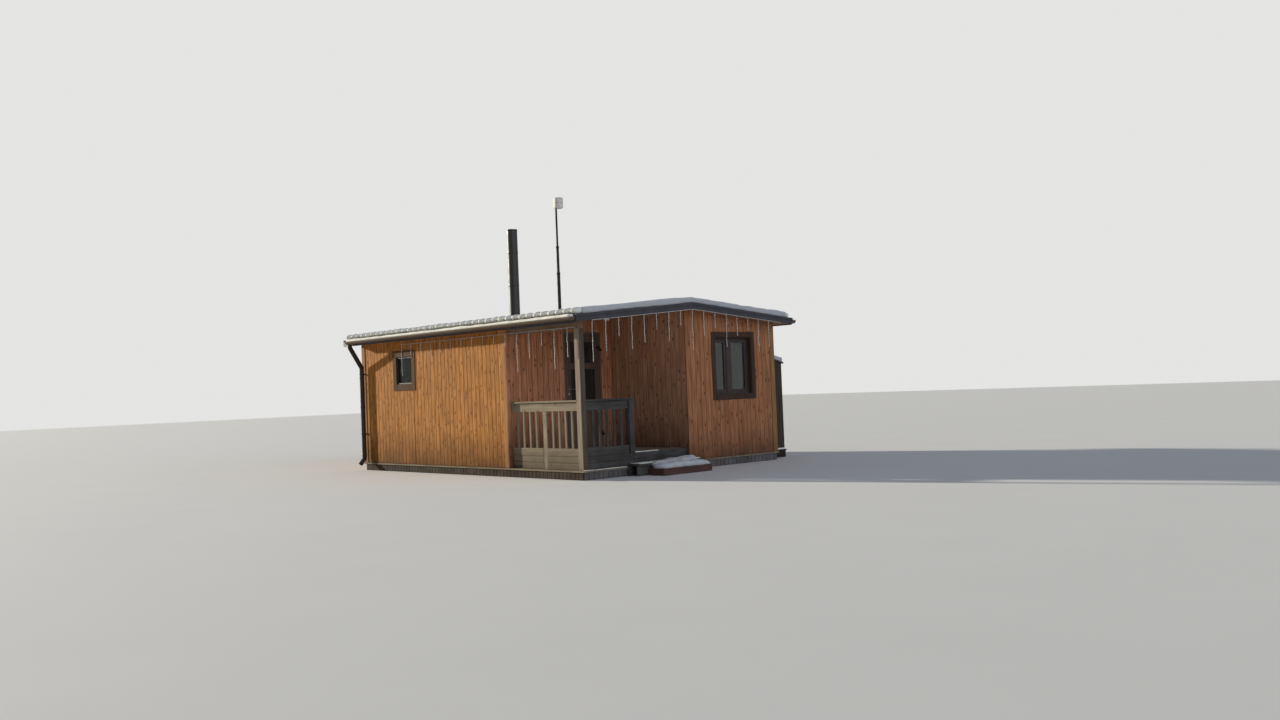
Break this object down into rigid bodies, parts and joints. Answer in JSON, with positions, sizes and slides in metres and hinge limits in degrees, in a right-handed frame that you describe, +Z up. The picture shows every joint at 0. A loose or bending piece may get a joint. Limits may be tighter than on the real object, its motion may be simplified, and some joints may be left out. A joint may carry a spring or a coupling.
{
  "type": "off-grid cabin",
  "caption": "Small timber cabin with a low gabled profiled roof, a railed corner porch, glazed door, two windows, steel flue, thin mast and a lean-to cupboard behind.",
  "frame": {"origin": "on the ground under the middle of the house, on the underside of the middle bearer", "axes": "+X along the long side towards the gable with the window, +Y across from the front to the rear, +Z up"},
  "size_m": [7.425, 5.5523, 5.625],
  "materials": {
    "raw_timber": "sawn spruce, unpainted",
    "skirt_timber": "dark stained boards",
    "front_cladding": "orange tan stained tongue and groove boards",
    "shaded_cladding": "brown stained tongue and groove boards",
    "corner_timber": "stained corner boards",
    "weathered_timber": "grey weathered planed boards",
    "dark_joinery": "dark brown stained joinery",
    "red_timber": "reddish brown boards",
    "dark_fascia": "dark grey painted boards",
    "dark_gutter": "dark brown coated steel",
    "roof_metal": "dark coated profiled steel",
    "flue_enamel": "matt grey coated steel",
    "mast_steel": "dark coated tube",
    "hinge_steel": "zinc plated",
    "lamp_opal": "opal white",
    "light_wire": "white flex with small lamps",
    "snow_cover": "settled snow",
    "pane": "clear glass"
  },
  "bodies": {
    "cabin": {"bearers": "raw_timber", "skirt": "skirt_timber", "base_ledge": "skirt_timber", "floor_joists": "raw_timber", "floor_boards": "raw_timber", "deck_boards": "weathered_timber", "front_wall": "front_cladding", "rear_wall": "shaded_cladding", "left_wall": "shaded_cladding", "gable_wall": "shaded_cladding", "porch_back_wall": "shaded_cladding", "porch_wall_front": "shaded_cladding", "porch_wall_rear": "shaded_cladding", "porch_wall_head": "shaded_cladding", "corner_boards": "corner_timber", "front_window_trim": "weathered_timber", "front_window_frame": "dark_joinery", "front_window_glass": "pane", "gable_window_trim": "dark_joinery", "gable_window_frame": "dark_joinery", "gable_window_glass": "pane", "door_frame": "dark_joinery", "hinge_pins": "hinge_steel", "roof_deck_front": "raw_timber", "roof_deck_rear": "raw_timber", "roof_sheet_front": "roof_metal", "roof_sheet_rear": "roof_metal", "ridge_cap": "roof_metal", "verge_boards": "dark_fascia", "eave_boards": "dark_fascia", "gutter_front": "dark_gutter", "gutter_rear": "dark_gutter", "downpipe_front": "dark_gutter", "downpipe_rear": "dark_gutter", "corner_post": "weathered_timber", "porch_beam": "dark_fascia", "railing_front": "weathered_timber", "railing_side": "weathered_timber", "deck_riser": "weathered_timber", "entrance_step": "weathered_timber", "entrance_platform": "red_timber", "porch_lamp": "lamp_opal", "flue_pipe": "flue_enamel", "flue_flashing": "roof_metal", "roof_snow": "snow_cover", "mast": "mast_steel", "mast_brackets": "mast_steel", "mast_head": "lamp_opal", "rear_cupboard": "shaded_cladding", "cupboard_lid": "roof_metal", "light_cable": "light_wire", "light_drops_front": "light_wire", "light_drops_gable": "light_wire"},
    "door": {"door_leaf": "dark_joinery", "door_glass": "pane", "hinge_knuckles": "hinge_steel", "door_handle": "hinge_steel"}
  },
  "joints": [
    {"name": "door_hinge", "type": "hinge", "parent": "cabin", "child": "door", "pos_m": [1.405, -0.2385, 1.36], "axis": [0, 0, 1], "range_deg": [0, 100]}
  ]
}
